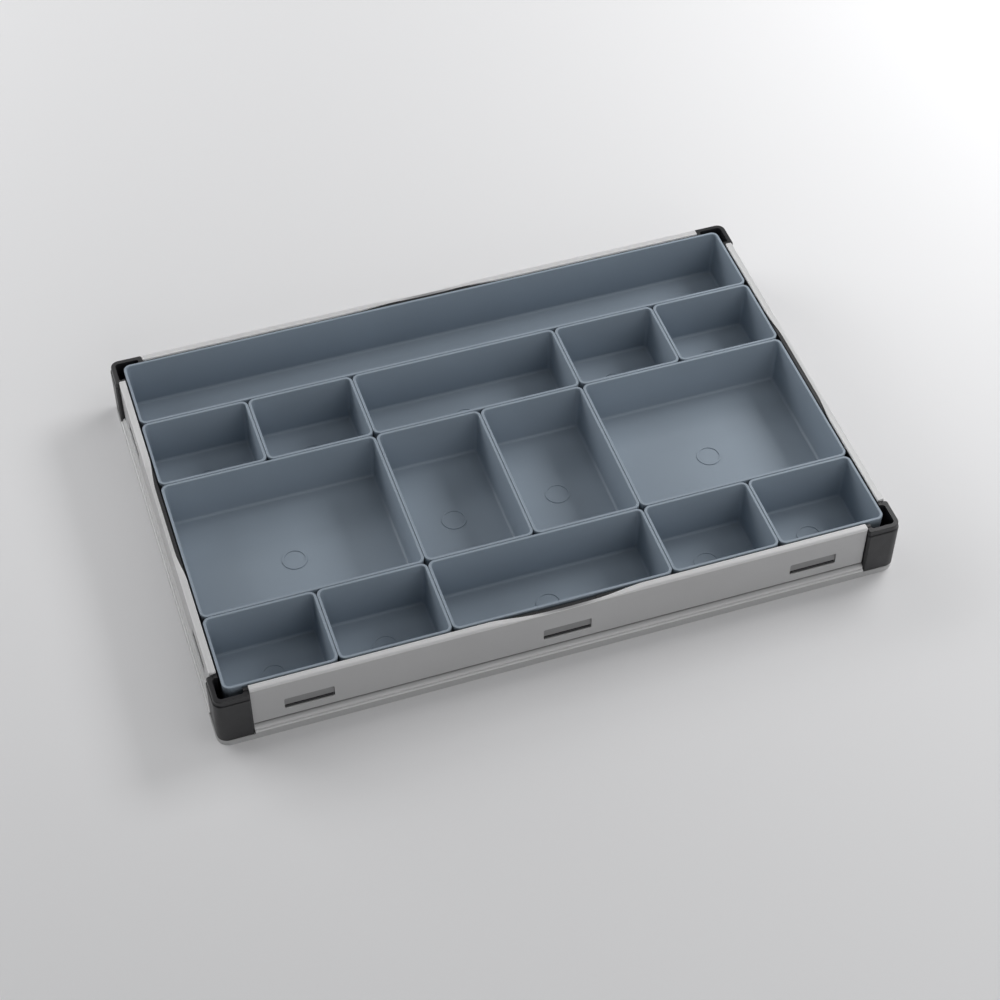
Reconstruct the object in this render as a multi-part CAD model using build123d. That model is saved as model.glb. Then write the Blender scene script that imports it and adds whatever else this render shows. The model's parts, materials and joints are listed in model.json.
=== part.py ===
from build123d import *
import os

# Box insert organizer: open trays on one grid, standing in a black carrier that snaps into a
# frosted outer shell. Millimetres, +Z up, +X along the longest side, origin at the centre of
# the underside.

# Grid that the trays fill: one cell is the footprint of the smallest tray.
column_pitch = 48.0
row_pitch = 38.0
column_count = 6
row_count = 5

# Each tray: first column, first row (row 0 is at the front), columns covered, rows covered.
tray_cells = {
    "small_tray_front_1": (0, 0, 1, 1),
    "small_tray_front_2": (1, 0, 1, 1),
    "double_tray_front": (2, 0, 2, 1),
    "small_tray_front_3": (4, 0, 1, 1),
    "small_tray_front_4": (5, 0, 1, 1),
    "large_tray_left": (0, 1, 2, 2),
    "half_tray_left": (2, 1, 1, 2),
    "half_tray_right": (3, 1, 1, 2),
    "large_tray_right": (4, 1, 2, 2),
    "small_tray_back_1": (0, 3, 1, 1),
    "small_tray_back_2": (1, 3, 1, 1),
    "double_tray_back": (2, 3, 2, 1),
    "small_tray_back_3": (4, 3, 1, 1),
    "small_tray_back_4": (5, 3, 1, 1),
    "long_tray": (0, 4, 6, 1),
}

# Trays, which stand a little towards the back in the play that the carrier leaves them
tray_height = 25.2
tray_gap = 0.2
tray_set_back = 0.35
tray_wall = 1.2
tray_floor = 1.2
tray_draft = 1.2
tray_corner_radius = 3.2
tray_rim_rounding = 0.3
tray_foot_rounding = 1.0
tray_floor_fillet = 1.3
floor_ring_radius = 5.5
floor_ring_width = 0.8
floor_ring_height = 0.3

# Carrier
carrier_clearance = 0.5
carrier_wall = 1.5
carrier_floor = 1.3
carrier_corner_radius = 3.0
carrier_wall_drop = 0.45
carrier_notch_width = 26.0
carrier_notch_depth = 0.35
pillar_drop = 0.8
pillar_reach = 9.6
pillar_wall = 2.0
pillar_radius = 4.2
pillar_jog = 0.7
pillar_band_height = 2.7
pillar_band_step = 0.5
pillar_edge_rounding = 0.35
pillar_overhang = 3.5
pillar_floor = 1.5
pillar_recess = 1.5

# Latches between the carrier and the shell
latch_length = 21.0
latch_corner_distance = 33.6
latch_height = 12.1
latch_slit = 1.5
latch_scoop = 4.5
latch_scoop_depth = 1.05
latch_scoop_foot_depth = 0.55
latch_end_radius = 0.7
latch_nose_clearance = 0.15
latch_nose_setback = 0.2

# Shell
shell_foot = 0.9
shell_base = 1.5
shell_clearance = 0.1
shell_wall = 1.5
shell_lip_thickness = 1.0
shell_lip_setback = 0.15
shell_edge_rounding = 0.7
shell_lip_rounding = 0.3
shell_end_rounding = 0.6
flange_height = 4.5
flange_reach = 2.2
flange_radius = 5.6
flange_foot_width = 6.0
flange_edge_rounding = 0.6
groove_height = 7.4
groove_depth = 0.7
groove_fillet = 1.9
panel_end_gap = 0.15

# Finger dips in the middle of the shell's sides: the top edge sinks and the lip draws back
dip_width = 74.0
long_dip_depth = 1.45
long_dip_ramp = 35.0
long_lip_ramp = 24.0
short_dip_depth = 1.0
short_dip_ramp = 19.0
short_lip_ramp = 19.0

# Levels, from the surface that the shell stands on
carrier_bottom = shell_foot + shell_base
tray_bottom = carrier_bottom + carrier_floor
tray_rim = tray_bottom + tray_height
carrier_wall_top = tray_rim - carrier_wall_drop
pillar_top = tray_rim - pillar_drop
pillar_bottom = flange_height - pillar_recess
shell_lip_bottom = carrier_wall_top + shell_clearance
shell_top = shell_lip_bottom + shell_lip_thickness

# Distances outwards from the edge of the tray grid
carrier_inside = carrier_clearance
carrier_outside = carrier_inside + carrier_wall
shell_inside = carrier_outside + shell_clearance
shell_outside = shell_inside + shell_wall
flange_outside = shell_outside + flange_reach
pillar_outside = carrier_outside + pillar_overhang
pillar_band_outside = pillar_outside - pillar_band_step
pillar_inside = pillar_band_outside - pillar_wall
lip_inside = carrier_inside + shell_lip_setback

half_length = column_count * column_pitch / 2
half_width = row_count * row_pitch / 2

SIDES = ("front", "back", "left", "right")
LONG_SIDES = ("front", "back")


def slab(offset, radius, low, high):
    """Rounded block from low to high whose sides stand offset outside the tray grid."""
    outline = RectangleRounded(2 * (half_length + offset), 2 * (half_width + offset), radius)
    return extrude(Plane.XY.offset(low) * outline, amount=high - low)


def at_four_corners(piece):
    """The piece and its mirror images at the other three corners."""
    pair = [piece, mirror(piece, about=Plane.YZ)]
    return pair + [mirror(copy, about=Plane.XZ) for copy in pair]


def side_plane(side):
    """Plane whose x runs along a side, y runs up and z points out of the object.

    Its origin is on the edge of the tray grid, at the middle of the side, at floor level.
    """
    directions = {"front": (0, -1), "back": (0, 1), "left": (-1, 0), "right": (1, 0)}
    out_x, out_y = directions[side]
    origin = (out_x * half_length, out_y * half_width, 0)
    return Plane(origin=origin, x_dir=(-out_y, out_x, 0), z_dir=(out_x, out_y, 0))


def section_plane(side):
    """Plane of a cross-section through the middle of a side: x points outwards, y points up."""
    along = side_plane(side)
    return Plane(origin=along.origin, x_dir=along.z_dir, z_dir=-along.x_dir)


def side_half(side):
    """Half the length of the tray grid along a side."""
    return half_length if side in LONG_SIDES else half_width


def latch_places(side):
    """Positions along a side of its latches."""
    outer = side_half(side) - latch_corner_distance
    if side in LONG_SIDES:
        return [-outer, 0.0, outer]
    return [-outer, outer]


# ---- Trays

def tapered_block(length, width, radius, top, height):
    """Rounded block that narrows downwards from its top by the trays' draft."""
    top_plane = Plane(origin=(0, 0, top), z_dir=(0, 0, -1))
    outline = top_plane * RectangleRounded(length, width, radius)
    return extrude(outline, amount=height, taper=tray_draft)


def floor_ring(level):
    """Plain raised ring in the middle of a tray's floor."""
    outer = Circle(floor_ring_radius)
    inner = Circle(floor_ring_radius - floor_ring_width)
    return extrude(Plane.XY.offset(level) * (outer - inner), amount=floor_ring_height)


def tray(first_column, first_row, columns, rows):
    """One open tray that covers the given cells of the grid."""
    length = columns * column_pitch - tray_gap
    width = rows * row_pitch - tray_gap
    body = tapered_block(length, width, tray_corner_radius, tray_rim, tray_height)
    body = fillet(body.faces().sort_by(Axis.Z)[0].edges(), tray_foot_rounding)
    depth = tray_height - tray_floor
    cavity = tapered_block(length - 2 * tray_wall, width - 2 * tray_wall,
                           tray_corner_radius - tray_wall, tray_rim, depth)
    cavity = fillet(cavity.faces().sort_by(Axis.Z)[0].edges(), tray_floor_fillet)
    body = body - cavity
    body = fillet(body.faces().sort_by(Axis.Z)[-1].edges(), tray_rim_rounding)
    body = body + floor_ring(tray_bottom + tray_floor)
    centre_x = (first_column + columns / 2) * column_pitch - half_length
    centre_y = (first_row + rows / 2) * row_pitch - half_width + tray_set_back
    return Pos(centre_x, centre_y, 0) * body


# ---- Carrier

def corner_prism(reach, outside, low, high):
    """Block over the back right corner, with a bevelled step at each of its two ends."""
    step = outside - pillar_jog
    turn = pillar_jog - reach
    outline = Polyline((-reach, -reach), (-reach, step), (turn, outside), (outside, outside),
                       (outside, turn), (step, -reach), close=True)
    place = Plane(origin=(half_length, half_width, low))
    return extrude(place * make_face(outline), amount=high - low)


def pillars():
    """The four corner pillars before they are hollowed, with a stepped band at their top."""
    band_bottom = pillar_top - pillar_band_height
    lower = slab(pillar_outside, pillar_radius, pillar_bottom, band_bottom)
    lower = lower & corner_prism(pillar_reach, pillar_outside, pillar_bottom, band_bottom)
    lower = fillet(lower.faces().sort_by(Axis.Z)[-1].edges(), pillar_edge_rounding)
    band_radius = pillar_radius - pillar_band_step
    upper = slab(pillar_band_outside, band_radius, band_bottom, pillar_top)
    upper = upper & corner_prism(pillar_reach, pillar_band_outside, band_bottom, pillar_top)
    upper = fillet(upper.faces().sort_by(Axis.Z)[-1].edges(), pillar_edge_rounding)
    return at_four_corners(lower + upper)


def pillar_voids():
    """The hollows between each pillar and the corner of its tray."""
    low = pillar_bottom + pillar_floor
    inner_radius = pillar_radius - pillar_band_step - pillar_wall
    void = slab(pillar_inside, inner_radius, low, tray_rim)
    reach = pillar_reach - pillar_wall
    void = void & corner_prism(reach, pillar_inside, low, tray_rim)
    return at_four_corners(void)


def wall_notches():
    """Shallow notches in the middle of the long walls' top edge."""
    notches = []
    for side in LONG_SIDES:
        outline = Rectangle(carrier_notch_width, 2 * carrier_notch_depth)
        face = side_plane(side) * (Pos(0, carrier_wall_top) * outline)
        notches.append(extrude(face, amount=shell_outside, both=True))
    return notches


def latch_nose():
    """Cross-section of the carrier's latch nose, which fills the lower part of a slot."""
    tip = shell_outside - latch_nose_setback
    low = latch_height + latch_nose_clearance
    high = latch_height + latch_slit - latch_nose_clearance
    root = carrier_outside - carrier_wall / 2
    return make_face(Polyline((root, low), (tip - latch_nose_setback, low), (tip, high),
                              (root, high), close=True))


def latch_noses():
    """All the latch noses on the outside of the carrier."""
    length = latch_length - 2 * latch_end_radius
    noses = []
    for side in SIDES:
        nose = extrude(section_plane(side) * latch_nose(), amount=length / 2, both=True)
        along = side_plane(side).x_dir
        noses += [Pos(along * place) * nose for place in latch_places(side)]
    return noses


def inner_carrier():
    """Black box that the trays stand in, with the corner pillars and the latch noses."""
    body = slab(carrier_outside, carrier_corner_radius + carrier_wall,
                carrier_bottom, carrier_wall_top)
    body = body + pillars()
    body = body - slab(carrier_inside, carrier_corner_radius, tray_bottom, tray_rim)
    body = body - pillar_voids()
    body = body - wall_notches()
    return body + latch_noses()


# ---- Shell

def panel_root_section():
    """Cross-section of the foot of a side panel: a hollow curve down to the flange."""
    back = shell_outside - groove_depth
    sunk = flange_height / 2
    curve_end = back + groove_fillet
    line = Polyline((shell_inside, sunk), (shell_inside, groove_height),
                    (back, groove_height), (back, flange_height + groove_fillet))
    curve = RadiusArc((back, flange_height + groove_fillet), (curve_end, flange_height),
                      groove_fillet)
    close = Polyline((curve_end, flange_height), (curve_end, sunk), (shell_inside, sunk))
    return make_face(line + curve + close)


def panel_section():
    """Cross-section of a side panel with the lip that covers the carrier's wall."""
    section = make_face(Polyline(
        (shell_inside, groove_height), (shell_outside, groove_height),
        (shell_outside, shell_top), (lip_inside, shell_top),
        (lip_inside, shell_lip_bottom), (shell_inside, shell_lip_bottom), close=True))
    top = section.vertices().group_by(Axis.Y)[-1].sort_by(Axis.X)
    section = fillet(top[-1], shell_edge_rounding)
    top = section.vertices().group_by(Axis.Y)[-1].sort_by(Axis.X)
    return fillet(top[0], shell_lip_rounding)


def smooth_notch(width, ramp, mouth, bottom, beyond):
    """Outline of a notch that runs smoothly down from its mouth to its flat bottom."""
    half = width / 2
    level = (1, 0)
    return make_face([
        Spline((-half, mouth), (ramp - half, bottom), tangents=(level, level)),
        Line((ramp - half, bottom), (half - ramp, bottom)),
        Spline((half - ramp, bottom), (half, mouth), tangents=(level, level)),
        Polyline((half, mouth), (half, beyond), (-half, beyond), (-half, mouth)),
    ])


def dip_tool(side):
    """What a finger dip takes from a side panel: part of its height and part of its lip."""
    long_side = side in LONG_SIDES
    depth = long_dip_depth if long_side else short_dip_depth
    dip_ramp = long_dip_ramp if long_side else short_dip_ramp
    lip_ramp = long_lip_ramp if long_side else short_lip_ramp
    above = shell_top + depth
    height_notch = smooth_notch(dip_width, dip_ramp, shell_top, shell_top - depth, above)
    height_cut = extrude(side_plane(side) * height_notch, amount=flange_outside, both=True)
    lip_notch = smooth_notch(dip_width, lip_ramp, lip_inside, shell_inside, -shell_outside)
    along = side_plane(side)
    flat = Plane(origin=along.origin + Vector(0, 0, shell_lip_bottom),
                 x_dir=-along.x_dir, z_dir=(0, 0, 1))
    lip_cut = extrude(flat * lip_notch, amount=above - shell_lip_bottom)
    return [height_cut, lip_cut]


def slot_section():
    """Cross-section of a latch slot: a scoop, deepest at its top, over a slit through the panel."""
    slit_top = latch_height + latch_slit
    scoop_top = slit_top + latch_scoop
    scoop_back = shell_outside - latch_scoop_depth
    scoop_foot = shell_outside - latch_scoop_foot_depth
    through = carrier_outside - shell_clearance
    return make_face(Polyline(
        (shell_outside + 1, latch_height), (shell_outside + 1, scoop_top),
        (scoop_back, scoop_top), (scoop_foot, slit_top), (through, slit_top),
        (through, latch_height), close=True))


def slot_tool(side):
    """Shape of one latch slot at the middle of a side, rounded at its ends."""
    height = latch_slit + latch_scoop
    middle = latch_height + height / 2
    scoop = extrude(section_plane(side) * slot_section(), amount=latch_length, both=True)
    outline = Pos(0, middle) * RectangleRounded(latch_length, height, latch_end_radius)
    window = extrude(side_plane(side) * outline, amount=flange_outside)
    return scoop & window


def side_panel(side):
    """One side panel, from its foot in the flange to its lip."""
    reach = side_half(side) - pillar_reach - panel_end_gap
    section = section_plane(side)
    root = extrude(section * panel_root_section(), amount=reach, both=True)
    panel = extrude(section * panel_section(), amount=reach, both=True)
    across = Axis(section.origin, section.x_dir)
    ends = panel.faces().filter_by(Axis(section.origin, section.z_dir))
    for end in ends:
        outer_edges = end.edges().sort_by(across)[-2:]
        panel = fillet(outer_edges, shell_end_rounding)
    panel = panel + root
    panel = panel - dip_tool(side)
    along = side_plane(side).x_dir
    slot = slot_tool(side)
    for place in latch_places(side):
        panel = panel - Pos(along * place) * slot
    return panel


def pillar_recesses():
    """Recesses in the corners of the flange that the pillars stand in."""
    reach = pillar_reach + panel_end_gap
    recess = corner_prism(reach, flange_outside + pillar_jog, pillar_bottom, shell_top)
    return at_four_corners(recess)


def outer_shell():
    """Frosted shell: a base with a flange all round, a shallow foot, and four side panels."""
    body = slab(flange_outside, flange_radius, 0, flange_height)
    body = fillet(body.faces().sort_by(Axis.Z)[-1].edges(), flange_edge_rounding)
    wall_radius = carrier_corner_radius + carrier_wall + shell_clearance
    body = body - slab(shell_inside, wall_radius, carrier_bottom, flange_height)
    foot_inside = flange_outside - flange_foot_width
    body = body - slab(foot_inside, wall_radius, 0, shell_foot)
    body = body - pillar_recesses()
    for side in SIDES:
        body = body + side_panel(side)
    return body


def main():
    os.makedirs("parts", exist_ok=True)
    pieces = {name: tray(*cells) for name, cells in tray_cells.items()}
    pieces["inner_carrier"] = inner_carrier()
    pieces["outer_shell"] = outer_shell()
    for name, piece in pieces.items():
        export_step(piece, f"parts/{name}.step")


main()
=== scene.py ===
import json
import math
import bpy
from mathutils import Matrix, Vector


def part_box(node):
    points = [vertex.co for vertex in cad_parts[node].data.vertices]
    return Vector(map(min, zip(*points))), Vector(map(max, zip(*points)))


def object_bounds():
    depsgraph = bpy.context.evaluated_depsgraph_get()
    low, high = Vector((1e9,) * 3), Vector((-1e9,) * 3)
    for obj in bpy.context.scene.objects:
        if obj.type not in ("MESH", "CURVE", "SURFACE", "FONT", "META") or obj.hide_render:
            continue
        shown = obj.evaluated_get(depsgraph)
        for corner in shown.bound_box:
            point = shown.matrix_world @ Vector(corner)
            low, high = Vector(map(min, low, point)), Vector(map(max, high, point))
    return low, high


# Box insert organizer: blue-grey trays in a satin black carrier inside a frosted shell, on a
# pale studio floor. Metres, in the frame of the CAD model.

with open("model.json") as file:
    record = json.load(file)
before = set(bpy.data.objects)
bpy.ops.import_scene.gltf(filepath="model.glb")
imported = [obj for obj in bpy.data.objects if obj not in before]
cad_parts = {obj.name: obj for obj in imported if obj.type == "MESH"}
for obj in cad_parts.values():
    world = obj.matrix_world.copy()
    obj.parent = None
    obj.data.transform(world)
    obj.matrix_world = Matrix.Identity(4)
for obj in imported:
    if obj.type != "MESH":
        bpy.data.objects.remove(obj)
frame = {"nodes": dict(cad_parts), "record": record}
cad_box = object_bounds()

# Camera, aimed from the middle of the object's top
AIM_OFFSET = Vector((-0.0080, -0.0340, -0.0007))
CAMERA_AZIMUTH = -18.72
CAMERA_ELEVATION = 48.84
CAMERA_DISTANCE = 0.943
CAMERA_ROLL = 0.3
CAMERA_LENS = 79.6

# Studio
UP = Vector((0, 0, 1))
FLOOR_SIZE = 12.0
FLOOR_COLOUR = (0.80, 0.80, 0.81)
FLOOR_ROUGHNESS = 0.6
FLOOR_SPECULAR = 0.2
DOME_COLOUR = (0.98, 0.99, 1.0)
DOME_STRENGTH = 0.04
# Soft boxes round the object, aimed at it: azimuth, elevation, power
BOX_DISTANCE = 1.4
BOX_SIZE = 0.9
BOXES = {
    "back_left": (225.0, 20.0, 8.2),
    "front": (0.0, 20.0, 3.9),
    "front_right_low": (45.0, 20.0, 1.5),
    "front_right_high": (45.0, 50.0, 1.9),
    "right": (90.0, 50.0, 1.1),
    "top": (0.0, 90.0, 2.2),
}
# Panels that hang over the floor and face down: place, power
PANEL_SIZE = 0.5
PANELS = {
    "panel_back": ((-0.30, 0.85, 0.60), 1.8),
    "panel_left": ((-0.80, 0.25, 0.45), 1.5),
    "panel_right": ((0.72, 0.27, 0.60), 6.2),
}

# In the materials, a DRIFT is the size of the colour's patches and how far the colour goes either
# way, as a share of itself. A ROUGHNESS_RANGE is the size of its patches, its lowest and its
# highest value. A GRAIN is a list of layers: the size of the noise, and the height of its bumps.
TRAY_COLOUR = (0.285, 0.340, 0.400)
TRAY_DRIFT = (0.035, 0.025)
TRAY_ROUGHNESS_RANGE = (0.006, 0.47, 0.54)
TRAY_SPECULAR = 0.45
TRAY_GRAIN = [(0.0004, 0.000012), (0.0011, 0.00001)]

CARRIER_COLOUR = (0.020, 0.020, 0.022)
CARRIER_DRIFT = (0.02, 0.08)
CARRIER_ROUGHNESS_RANGE = (0.004, 0.38, 0.47)
CARRIER_SPECULAR = 0.5
CARRIER_GRAIN = [(0.0005, 0.000012), (0.0012, 0.00001)]

SHELL_IOR = 1.49
SHELL_GRAIN = [(0.0006, 0.00001)]
# The shell's clear edges
SHELL_COLOUR = (0.955, 0.955, 0.96)
SHELL_DRIFT = (0.03, 0.012)
SHELL_EDGE_ROUGHNESS = 0.28
SHELL_EDGE_TRANSMISSION = 0.36
# Its panels, with painted shade standing in for the black carrier seen through them: the heights
# between which the painted shade sets in, and the heights between which it ends
SHELL_BACKED_SHADE_COLOUR = (0.545, 0.545, 0.55)
SHELL_BACKED_SHADE_DRIFT = (0.03, 0.02)
SHELL_ROUGHNESS = 0.34
SHELL_TRANSMISSION = 0.22
BACKED_SHADE_LOW = (0.0046, 0.0060)
BACKED_SHADE_HIGH = (0.0279, 0.0287)
# Its flange, which stands out past the panels, with painted shade on its side below these heights
SHELL_FOOT_SHADE_COLOUR = (0.64, 0.64, 0.645)
FOOT_SHADE_HEIGHTS = (0.0040, 0.0034)
FLANGE_REACH = 0.0022
# Painted shade on whatever lies deeper than this behind the outsides of the panels, such as the
# slot scoops
SHELL_RECESS_SHADE_COLOUR = (0.29, 0.29, 0.295)
RECESS_SHADE_DEPTHS = (0.00015, 0.00050)

# Noise: the range that most of it lies in, and its detail for each use
NOISE_LOW = 0.3
NOISE_HIGH = 0.7
COLOUR_DETAIL = 3.0
ROUGHNESS_DETAIL = 4.0
GRAIN_DETAIL = 1.0
# Sockets that the mix node uses for colours; it has others with the same names
MIX_FIRST = 6
MIX_SECOND = 7
MIX_RESULT = 2


def direction(azimuth, elevation):
    """Unit vector towards a place seen at that azimuth and elevation; azimuth 0 is the front."""
    turn = math.radians(azimuth)
    rise = math.radians(elevation)
    level = math.cos(rise)
    return Vector((math.sin(turn) * level, -math.cos(turn) * level, math.sin(rise)))


def top_centre():
    """Middle of the top of the CAD model's box."""
    low, high = Vector(cad_box[0]), Vector(cad_box[1])
    middle = (low + high) / 2
    return Vector((middle.x, middle.y, high.z))


# ---- Camera, lights and floor

def add_object(name, data):
    thing = bpy.data.objects.new(name, data)
    bpy.context.collection.objects.link(thing)
    return thing


def make_camera():
    aim = top_centre() + AIM_OFFSET
    away = direction(CAMERA_AZIMUTH, CAMERA_ELEVATION)
    camera = add_object("camera", bpy.data.cameras.new("camera"))
    camera.data.lens = CAMERA_LENS
    turn = away.to_track_quat("Z", "Y").to_matrix().to_4x4()
    roll = Matrix.Rotation(math.radians(CAMERA_ROLL), 4, "Z")
    camera.matrix_world = Matrix.Translation(aim + away * CAMERA_DISTANCE) @ turn @ roll
    bpy.context.scene.camera = camera


def make_light(name, place, back, size, power):
    """Square soft light whose back is turned to the direction back."""
    light = add_object(name, bpy.data.lights.new(name, "AREA"))
    light.data.size = size
    light.data.energy = power
    light.location = place
    light.rotation_euler = back.to_track_quat("Z", "Y").to_euler()
    light.visible_camera = False


def make_lights():
    for name, (azimuth, elevation, power) in BOXES.items():
        away = direction(azimuth, elevation)
        make_light(name, away * BOX_DISTANCE, away, BOX_SIZE, power)
    for name, (place, power) in PANELS.items():
        make_light(name, place, UP, PANEL_SIZE, power)


def make_dome():
    world = bpy.data.worlds.new("dome")
    world.use_nodes = True
    background = world.node_tree.nodes["Background"]
    background.inputs["Color"].default_value = (*DOME_COLOUR, 1)
    background.inputs["Strength"].default_value = DOME_STRENGTH
    bpy.context.scene.world = world


def make_floor():
    half = FLOOR_SIZE / 2
    mesh = bpy.data.meshes.new("floor")
    corners = [(-half, -half, 0), (half, -half, 0), (half, half, 0), (-half, half, 0)]
    mesh.from_pydata(corners, [], [(0, 1, 2, 3)])
    surface = Surface("studio_floor")
    surface.set("Base Color", FLOOR_COLOUR)
    surface.set("Roughness", FLOOR_ROUGHNESS)
    surface.set("Specular IOR Level", FLOOR_SPECULAR)
    mesh.materials.append(surface.material)
    floor = add_object("floor", mesh)


# ---- Materials

class Surface:
    """A Principled material that is built up from noise on the object's own coordinates."""

    def __init__(self, name):
        self.material = bpy.data.materials.new(name)
        self.material.use_nodes = True
        self.tree = self.material.node_tree
        self.shader = self.tree.nodes["Principled BSDF"]
        self.place = self.node("TexCoord").outputs["Object"]

    def node(self, kind):
        return self.tree.nodes.new("ShaderNode" + kind)

    def put(self, socket, value):
        """Links the socket to another node's output, or sets it to a number or a colour."""
        if isinstance(value, bpy.types.NodeSocket):
            self.tree.links.new(value, socket)
        elif isinstance(value, tuple):
            socket.default_value = (*value, 1)
        else:
            socket.default_value = value

    def set(self, socket, value):
        """Puts a value, or another node's output, into a socket of the shader."""
        self.put(self.shader.inputs[socket], value)

    def noise(self, size, detail):
        """Noise whose features are about size metres across."""
        node = self.node("TexNoise")
        self.put(node.inputs["Vector"], self.place)
        self.put(node.inputs["Scale"], 1 / size)
        self.put(node.inputs["Detail"], detail)
        return node.outputs["Fac"]

    def axis(self, name):
        """One of the point's coordinates: X, Y or Z."""
        node = self.node("SeparateXYZ")
        self.put(node.inputs[0], self.place)
        return node.outputs[name]

    def math(self, operation, first, second=0.0):
        node = self.node("Math")
        node.operation = operation
        self.put(node.inputs[0], first)
        self.put(node.inputs[1], second)
        return node.outputs["Value"]

    def ramp(self, value, start, end, low=0.0, high=1.0, shape="LINEAR"):
        """Goes from low where value is start to high where it is end."""
        node = self.node("MapRange")
        node.interpolation_type = shape
        self.put(node.inputs["Value"], value)
        self.put(node.inputs["From Min"], start)
        self.put(node.inputs["From Max"], end)
        self.put(node.inputs["To Min"], low)
        self.put(node.inputs["To Max"], high)
        return node.outputs["Result"]

    def step(self, value, start, end):
        """Goes smoothly from 0 where value is start to 1 where it is end."""
        return self.ramp(value, start, end, shape="SMOOTHSTEP")

    def mix(self, factor, first, second):
        """Mix of two colours, each given as three numbers or as a node's output."""
        node = self.node("Mix")
        node.data_type = "RGBA"
        self.put(node.inputs["Factor"], factor)
        self.put(node.inputs[MIX_FIRST], first)
        self.put(node.inputs[MIX_SECOND], second)
        return node.outputs[MIX_RESULT]

    def drift(self, colour, size, change):
        """Colour that drifts by change, as a share of itself, either way."""
        darker = tuple(channel * (1 - change) for channel in colour)
        lighter = tuple(channel * (1 + change) for channel in colour)
        factor = self.ramp(self.noise(size, COLOUR_DETAIL), NOISE_LOW, NOISE_HIGH)
        return self.mix(factor, darker, lighter)

    def vary_roughness(self, size, low, high):
        noise = self.noise(size, ROUGHNESS_DETAIL)
        self.set("Roughness", self.ramp(noise, NOISE_LOW, NOISE_HIGH, low, high))

    def depth(self, axis, limit):
        """How far a point is inside the two planes at limit either way along an axis."""
        return self.math("SUBTRACT", limit, self.math("ABSOLUTE", self.axis(axis)))

    def grain(self, layers):
        """Moulded texture, from layers of a noise size and the height of its bumps."""
        normal = None
        for size, height in layers:
            bump = self.node("Bump")
            self.put(bump.inputs["Strength"], 1.0)
            self.put(bump.inputs["Distance"], height)
            self.put(bump.inputs["Height"], self.noise(size, GRAIN_DETAIL))
            if normal is not None:
                self.put(bump.inputs["Normal"], normal)
            normal = bump.outputs["Normal"]
        self.set("Normal", normal)


def tray_material():
    """Matte blue-grey plastic with a fine spark-eroded grain."""
    surface = Surface("tray_plastic")
    surface.set("Base Color", surface.drift(TRAY_COLOUR, *TRAY_DRIFT))
    surface.vary_roughness(*TRAY_ROUGHNESS_RANGE)
    surface.set("Specular IOR Level", TRAY_SPECULAR)
    surface.grain(TRAY_GRAIN)
    return surface.material


def carrier_material():
    """Satin black plastic with a fine grain."""
    surface = Surface("carrier_plastic")
    surface.set("Base Color", surface.drift(CARRIER_COLOUR, *CARRIER_DRIFT))
    surface.vary_roughness(*CARRIER_ROUGHNESS_RANGE)
    surface.set("Specular IOR Level", CARRIER_SPECULAR)
    surface.grain(CARRIER_GRAIN)
    return surface.material


def panel_depth(surface):
    """How far a point is behind the outsides of the shell's four panels."""
    low, high = (Vector(corner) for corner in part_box("outer_shell"))
    half = (high - low) / 2
    across = surface.depth("X", half.x - FLANGE_REACH)
    along = surface.depth("Y", half.y - FLANGE_REACH)
    return surface.math("MINIMUM", across, along)


def shell_material():
    """Frosted plastic: clearer at its edges, with painted shade where the black carrier stands
    behind it, on the flange's lower side and in recesses.
    """
    surface = Surface("shell_plastic")
    # Painted shade: the panels are greyer between these heights, where the black carrier stands
    # behind them
    above_flange = surface.step(surface.axis("Z"), *BACKED_SHADE_LOW)
    below_lip = surface.step(surface.axis("Z"), *reversed(BACKED_SHADE_HIGH))
    backed_shade_zone = surface.math("MULTIPLY", above_flange, below_lip)

    edge_colour = surface.drift(SHELL_COLOUR, *SHELL_DRIFT)
    # Painted shade on the lower part of the flange's side
    foot_shade = surface.step(surface.axis("Z"), *FOOT_SHADE_HEIGHTS)
    edge_colour = surface.mix(foot_shade, edge_colour, SHELL_FOOT_SHADE_COLOUR)

    backed_shade_colour = surface.drift(SHELL_BACKED_SHADE_COLOUR, *SHELL_BACKED_SHADE_DRIFT)
    # Painted shade in the slot scoops, the groove and other recesses behind the panels' outsides
    recess_shade = surface.step(panel_depth(surface), *RECESS_SHADE_DEPTHS)
    backed_shade_colour = surface.mix(recess_shade, backed_shade_colour, SHELL_RECESS_SHADE_COLOUR)

    surface.set("Base Color", surface.mix(backed_shade_zone, edge_colour, backed_shade_colour))
    transmission = surface.ramp(backed_shade_zone, 0.0, 1.0, SHELL_EDGE_TRANSMISSION, SHELL_TRANSMISSION)
    surface.set("Transmission Weight", transmission)
    roughness = surface.ramp(backed_shade_zone, 0.0, 1.0, SHELL_EDGE_ROUGHNESS, SHELL_ROUGHNESS)
    surface.set("Roughness", roughness)
    surface.set("IOR", SHELL_IOR)
    surface.grain(SHELL_GRAIN)
    return surface.material


def dress_nodes():
    """Gives every CAD node the material of its slot in the record."""
    makers = {"tray": tray_material, "carrier": carrier_material, "shell": shell_material}
    materials = {slot: maker() for slot, maker in makers.items()}
    for part in frame["record"]["subparts"]:
        node = frame["nodes"][part["node"]]
        node.data.materials.clear()
        node.data.materials.append(materials[part["material_slot"]])


bpy.context.scene.view_settings.view_transform = "Standard"
make_camera()
make_dome()
make_floor()
make_lights()
dress_nodes()
